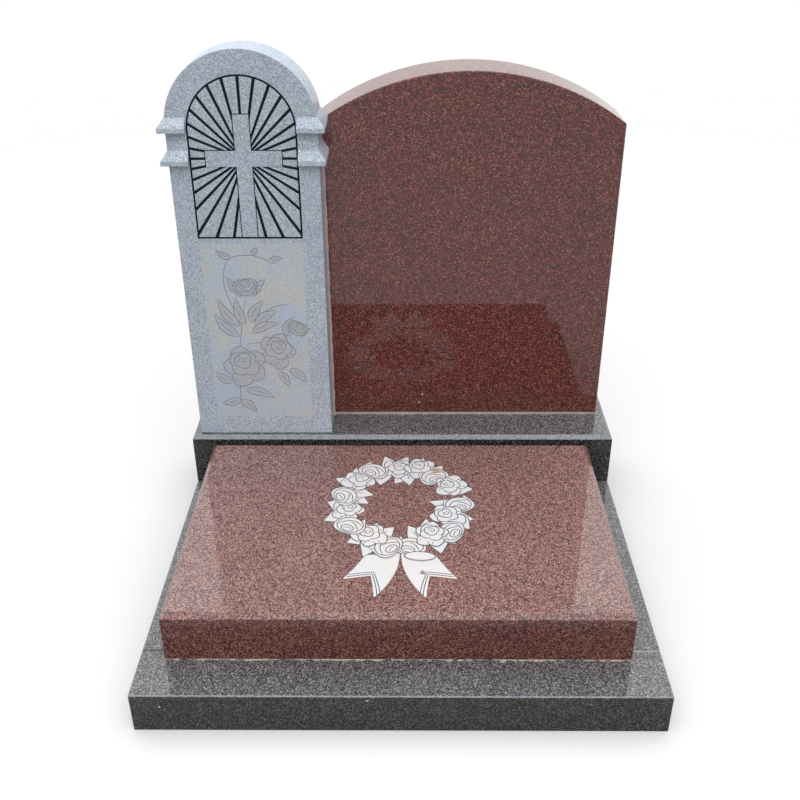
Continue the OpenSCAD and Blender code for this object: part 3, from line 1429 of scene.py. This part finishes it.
@dataclass
class Pillar:
    """The cross pillar: its stone, the paint in its window and the flowers on its panel.

    Fields: thickness is the pillar's, cut the depth of the lines, paint_gap how far the paint
    stays below the face, window and panel the lowest and highest corners of the two areas, from
    the foot of the pillar's middle, and line_width the width of an etched line. The rest is the
    spray on the panel, in millimetres from the same foot: each rose's and bud's middle, radius
    and facing, each stem's ends and bow, and each leaf's root, tip and half width.
    """

    thickness: float = 84 * MM
    cut: float = 1.5 * MM
    paint_gap: float = 0.25 * MM
    window: tuple[float, float, float, float] = (-114 * MM, 495 * MM, 114 * MM, 846 * MM)
    panel: tuple[float, float, float, float] = (-112 * MM, 48 * MM, 112 * MM, 486 * MM)
    line_width: float = 1.3
    roses: tuple[tuple[Point, float, float], ...] = (((40, 222), 42, 70), ((-36, 184), 50, 110))
    buds: tuple[tuple[Point, float, float], ...] = (((90, 280), 20, 60), ((-20, 382), 24, 100))
    stems: tuple[tuple[Point, Point, Point], ...] = (
        ((-52, 60), (-60, 200), (-18, 372)),
        ((-30, 240), (40, 250), (84, 270)),
        ((-36, 300), (-90, 400), (-50, 452)),
        ((-50, 452), (0, 470), (40, 440)),
        ((-8, 300), (30, 340), (70, 340)),
    )
    leaves: tuple[tuple[Point, Point, float], ...] = (
        ((-44, 260), (-96, 318), 11), ((-40, 286), (-84, 352), 11), ((-28, 290), (-44, 356), 10),
        ((-16, 296), (16, 350), 11), ((-6, 286), (46, 326), 11), ((-14, 270), (48, 294), 10),
        ((-70, 140), (-106, 168), 10), ((-54, 96), (-98, 84), 10), ((-54, 92), (-18, 58), 10),
        ((-40, 120), (26, 98), 11), ((66, 176), (102, 140), 10), ((-8, 360), (26, 402), 9),
        ((-26, 364), (-60, 408), 9), ((60, 262), (80, 310), 8), ((40, 168), (62, 128), 9),
        ((-46, 452), (-78, 470), 7), ((0, 458), (14, 476), 6), ((36, 442), (66, 452), 7),
    )

    def __post_init__(self) -> None:
        """Finds the pillar's middle, foot and face."""
        low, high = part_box("cross_pillar")
        self.middle = (low.x + high.x) / 2
        self.foot = low.z
        self.face = high.y - self.thickness

    def area(self, corners: tuple[float, float, float, float]) -> tuple[Place, Place]:
        """Places an area of the pillar's face in the memorial's frame.

        Args:
            corners: its lowest and highest corners, from the foot of the pillar's middle.

        Returns:
            Its lowest and highest corners, a little before and behind the face.
        """
        x0, z0, x1, z1 = corners
        near = 5 * MM
        low = (self.middle + x0, self.face - near, self.foot + z0)
        return low, (self.middle + x1, self.face + near, self.foot + z1)

    def _in_window(self, edge: BMEdge) -> bool:
        """True for an edge that lies in the window, where the lines are cut."""
        low, high = self.area(self.window)
        return all(low[0] < vert.co.x < high[0] and low[2] < vert.co.z < high[2] for vert in edge.verts)

    def build(self, finishes: Finishes) -> None:
        """Builds the stone, the paint and the flowers.

        Args:
            finishes: the memorial's finishes.
        """
        stone = Stone("cross_pillar", "pillar_stone", Slot.LIGHT, keep=self._in_window)
        stone.build(finishes.light)
        self._paint(finishes.paint)
        self._flowers(finishes.petals, finishes.panel_line)

    def _paint(self, paint: Material) -> None:
        """Fills the cut lines from their floor.

        Args:
            paint: the paint's finish.
        """
        bm = merged_solid("cross_pillar")
        floor_y = self.face + self.cut
        others = [
            face for face in bm.faces
            if abs(face.calc_center_median().y - floor_y) > 0.1 * MM or face.normal.y > -0.9
        ]
        bmesh.ops.delete(bm, geom=others, context="FACES")
        grown = bmesh.ops.extrude_face_region(bm, geom=bm.faces[:])
        bmesh.ops.translate(bm, vec=(0.0, self.paint_gap - self.cut, 0.0), verts=moved(grown))
        bmesh.ops.recalc_face_normals(bm, faces=bm.faces)
        finish_piece(bm, "window_paint", paint, Slot.PAINT)

    def _flowers(self, petals: Material, ink: Material) -> None:
        """Draws a spray of roses and leaves on the panel, in low steps.

        Args:
            petals: the finish of the petals and leaves.
            ink: the etched lines.
        """
        upright = Matrix.Rotation(math.pi / 2, 4, "X")
        place = Matrix.Translation((self.middle, self.face, self.foot)) @ upright
        art = Drawing(place, line_width=self.line_width)
        for start, bow, end in self.stems:
            art.line(art.curve(start, bow, end, 14), 0)
        for index, (root, tip, half) in enumerate(self.leaves):
            art.leaf(root, tip, half, 1 + 0.6 * (index % 3), True, 0.08)
        for index, (centre, radius, facing) in enumerate(self.roses):
            art.rose(centre, radius, facing, 3 + 6 * (index % 2))
        for centre, radius, facing in self.buds:
            art.bud(centre, radius, facing, 4)
        art.finish("panel_flowers", petals, ink, Slot.LIGHT)


@dataclass
class Bead:
    """A wandering bead of mortar along a straight corner.

    Fields: name is the piece's, start and end are the ends of its middle line, radius its usual
    radius, step the distance between its rings and swell how far the radius strays.
    """

    name: str
    start: Vector
    end: Vector
    radius: float = 3.5 * MM
    step: float = 7 * MM
    swell: float = 0.45

    def build(self, material: Material) -> bpy.types.Object:
        """Builds the piece.

        Args:
            material: the mortar.

        Returns:
            The new object.
        """
        along = self.end - self.start
        turn = Vector((0.0, 0.0, 1.0)).rotation_difference(along).to_matrix().to_4x4()
        bm = bmesh.new()
        bmesh.ops.create_cone(
            bm, cap_ends=True, segments=10, radius1=self.radius, radius2=self.radius,
            depth=along.length, matrix=Matrix.Translation((self.start + self.end) / 2) @ turn,
        )
        long_edges = [edge for edge in bm.edges if edge.calc_length() > along.length / 2]
        bmesh.ops.subdivide_edges(bm, edges=long_edges, cuts=int(along.length / self.step))
        for vert in bm.verts:
            middle = self.start + along * (vert.co - self.start).dot(along) / along.length_squared
            vert.co = middle + (vert.co - middle) * (1.0 + self.swell * noise.noise(middle * 55.0))
        smooth_curves(bm, math.radians(50.0))
        return finish_piece(bm, self.name, material, Slot.MORTAR)


@dataclass
class Pointing:
    """The pale mortar up the pillar's corner with the headstone, and a near-black bead along the pillar's
    foot that paints the shadow line there.

    Fields: half_width is half the pillar's width over its foot, corner_height how far the pale
    bead climbs, and the last field the radius of the near-black bead of painted shadow.
    """

    half_width: float = 156 * MM
    corner_height: float = 655 * MM
    foot_shadow_radius: float = 1.4 * MM

    def build(self, pillar: Pillar, finishes: Finishes) -> None:
        """Builds both beads.

        Args:
            pillar: the pillar that they touch.
            finishes: the memorial's finishes.
        """
        stone_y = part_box("headstone")[0].y
        left, right = pillar.middle - self.half_width, pillar.middle + self.half_width
        low = Vector((right, stone_y, pillar.foot))
        high = low + Vector((0.0, 0.0, self.corner_height))
        Bead("corner_pointing", low, high).build(finishes.pale_mortar)
        # a near-black bead along the pillar's foot: painted shadow line
        start, end = (Vector((x, pillar.face, pillar.foot)) for x in (left, right))
        Bead("foot_painted_shadow", start, end, self.foot_shadow_radius).build(finishes.painted_gap_shadow)


# ---------------------------------------------------------------- studio


def seen_directly(graph: Graph) -> Socket:
    """Adds a value that is 1 for the camera, mirrors and glass, and 0 for all other light.

    Args:
        graph: the graph of the floor's material or of the world.

    Returns:
        The value's socket.
    """
    ray = graph.add("ShaderNodeLightPath")
    mirrored = graph.math("ADD", ray.outputs["Is Glossy Ray"], ray.outputs["Is Transmission Ray"])
    return graph.math("ADD", ray.outputs["Is Camera Ray"], mirrored, clamp=True)


@dataclass
class Studio:
    """A plain pale floor, soft light and the camera.

    Fields: floor_half is half the floor's width, floor_tone its colour where it is seen or
    mirrored, floor_bounce its colour for all other light, and floor_fade the distances from the
    middle between which it fades into the background. even_light is the world's strength as a
    light, glow what it adds overhead in a mirror, and glow_band how far up a ray points where
    that begins and where it is full. The front lamp has its place, the point that it faces, its
    width and height and its power in watts, and the overhead one its strength and the angle that
    it spreads over, in degrees. eye is the camera's place, pitch, turn and roll its angles in
    degrees, lens its focal length in millimetres, and rise the frame's shift.
    """

    floor_half: float = 8.0
    floor_tone: float = 0.92
    floor_bounce: float = 0.15
    floor_fade: tuple[float, float] = (1.4, 5.0)
    even_light: float = 0.25
    glow: float = 0.9
    glow_band: tuple[float, float] = (0.15, 0.75)
    front_place: Place = (0.0, -3.4, 4.2)
    front_aim: Place = (0.0, -0.1, 0.4)
    front_size: tuple[float, float] = (5.0, 3.4)
    front_power: float = 60.0
    overhead_strength: float = 2.5
    overhead_spread: float = 100.0
    eye: Place = (0.0150, -1.6806, 1.4687)
    pitch: float = 28.25
    turn: float = -0.57
    roll: float = -0.296
    lens: float = 42.753
    rise: float = -0.0625

    def build(self) -> None:
        """Builds the floor, the lamps, the world and the camera."""
        self._floor()
        self._front_lamp()
        self._overhead_lamp()
        self._world()
        self._camera()

    def _floor(self) -> None:
        """Lays the floor."""
        bm = bmesh.new()
        bmesh.ops.create_grid(bm, x_segments=1, y_segments=1, size=self.floor_half)
        mesh = bpy.data.meshes.new("floor")
        bm.to_mesh(mesh)
        bm.free()
        dressing = Dressing("pale_floor")
        graph = dressing.graph
        tone = graph.span(seen_directly(graph), 0.0, 1.0, self.floor_bounce, self.floor_tone)
        away = graph.vector_math("LENGTH", dressing.place).outputs["Value"]
        dressing.fill({
            "Base Color": graph.grey(tone),
            "Roughness": 0.95,
            "Specular IOR Level": 0.1,
            "Alpha": graph.span(away, *self.floor_fade, 1.0, 0.0),
        })
        mesh.materials.append(dressing.material)
        floor = bpy.data.objects.new("floor", mesh)
        bpy.context.scene.collection.objects.link(floor)

    def _front_lamp(self) -> None:
        """Hangs a wide, soft rectangular lamp over the camera, aimed at the memorial."""
        data = bpy.data.lights.new("lamp_front", "AREA")
        data.shape = "RECTANGLE"
        data.size, data.size_y = self.front_size
        data.energy = self.front_power
        lamp = bpy.data.objects.new("lamp_front", data)
        lamp.location = self.front_place
        aim = Vector(self.front_aim) - Vector(self.front_place)
        lamp.rotation_euler = aim.to_track_quat("-Z", "Y").to_euler()
        lamp.visible_camera = False
        bpy.context.scene.collection.objects.link(lamp)

    def _overhead_lamp(self) -> None:
        """Hangs the even, very soft light from overhead."""
        data = bpy.data.lights.new("lamp_overhead", "SUN")
        data.energy = self.overhead_strength
        data.angle = math.radians(self.overhead_spread)
        lamp = bpy.data.objects.new("lamp_overhead", data)
        lamp.visible_glossy = False
        bpy.context.scene.collection.objects.link(lamp)

    def _world(self) -> None:
        """Fills the world: white where it is seen or mirrored, dimmer as a light."""
        world = bpy.data.worlds.new("studio")
        world.use_nodes = True
        graph = Graph(world.node_tree)
        sky = world.node_tree.nodes["Background"]
        way = graph.add("ShaderNodeTexCoord").outputs["Generated"]
        height = graph.add("ShaderNodeSeparateXYZ", {0: way}).outputs["Z"]
        glossy = graph.add("ShaderNodeLightPath").outputs["Is Glossy Ray"]
        overhead = graph.math("MULTIPLY", glossy, graph.span(height, *self.glow_band, 0.0, self.glow))
        even = graph.span(seen_directly(graph), 0.0, 1.0, self.even_light, 1.0)
        graph.feed(sky.inputs["Color"], (1.0, 1.0, 1.0))
        graph.feed(sky.inputs["Strength"], graph.math("ADD", even, overhead))
        bpy.context.scene.world = world

    def _camera(self) -> None:
        """Places the camera."""
        pitch, turn, roll = (math.radians(angle) for angle in (self.pitch, self.turn, self.roll))
        ahead = Vector((
            math.sin(turn) * math.cos(pitch), math.cos(turn) * math.cos(pitch), -math.sin(pitch),
        ))
        level = Vector((math.cos(turn), -math.sin(turn), 0.0))
        upright = level.cross(ahead)
        right = level * math.cos(roll) + upright * math.sin(roll)
        up = upright * math.cos(roll) - level * math.sin(roll)
        axes = Matrix((right, up, -ahead)).transposed().to_4x4()
        data = bpy.data.cameras.new("camera")
        data.lens = self.lens
        data.sensor_width = 36.0
        data.shift_y = self.rise
        data.clip_end = 100.0
        camera = bpy.data.objects.new("camera", data)
        camera.matrix_world = Matrix.Translation(self.eye) @ axes
        bpy.context.scene.collection.objects.link(camera)
        bpy.context.scene.camera = camera


def main() -> None:
    """Builds the memorial, piece by piece, and the studio round it."""
    logging.basicConfig(level=logging.INFO, format="%(name)s %(message)s")
    bpy.context.scene.view_settings.view_transform = "Standard"
    pillar = Pillar()
    finishes = Finishes(Sharing(), *pillar.area(pillar.panel))

    Kerbs().build(finishes)
    base = Stone("head_base", "base_block", Slot.DARK, arris=0.8 * MM, arris_highlight=finishes.arris_highlight)
    base.build(finishes.dark)
    bed = Bed("ledger_bed", "slab_bedding", step=4 * MM, wander=6.5 * MM, bulge=1.5 * MM)
    bed.build(finishes.pale_mortar)
    Stone("ledger", "cover_slab", Slot.RED, arris=0.8 * MM).build(finishes.slab_red)
    Bed("headstone_bed", "headstone_bedding").build(finishes.pale_mortar)
    Stone("headstone", "headstone_slab", Slot.RED, arris=2.0 * MM).build(finishes.headstone_red)
    pillar.build(finishes)
    Wreath().build(finishes.white, finishes.grey_line)
    Pointing().build(pillar, finishes)
    Studio().build()


if __name__ == "__main__":
    main()
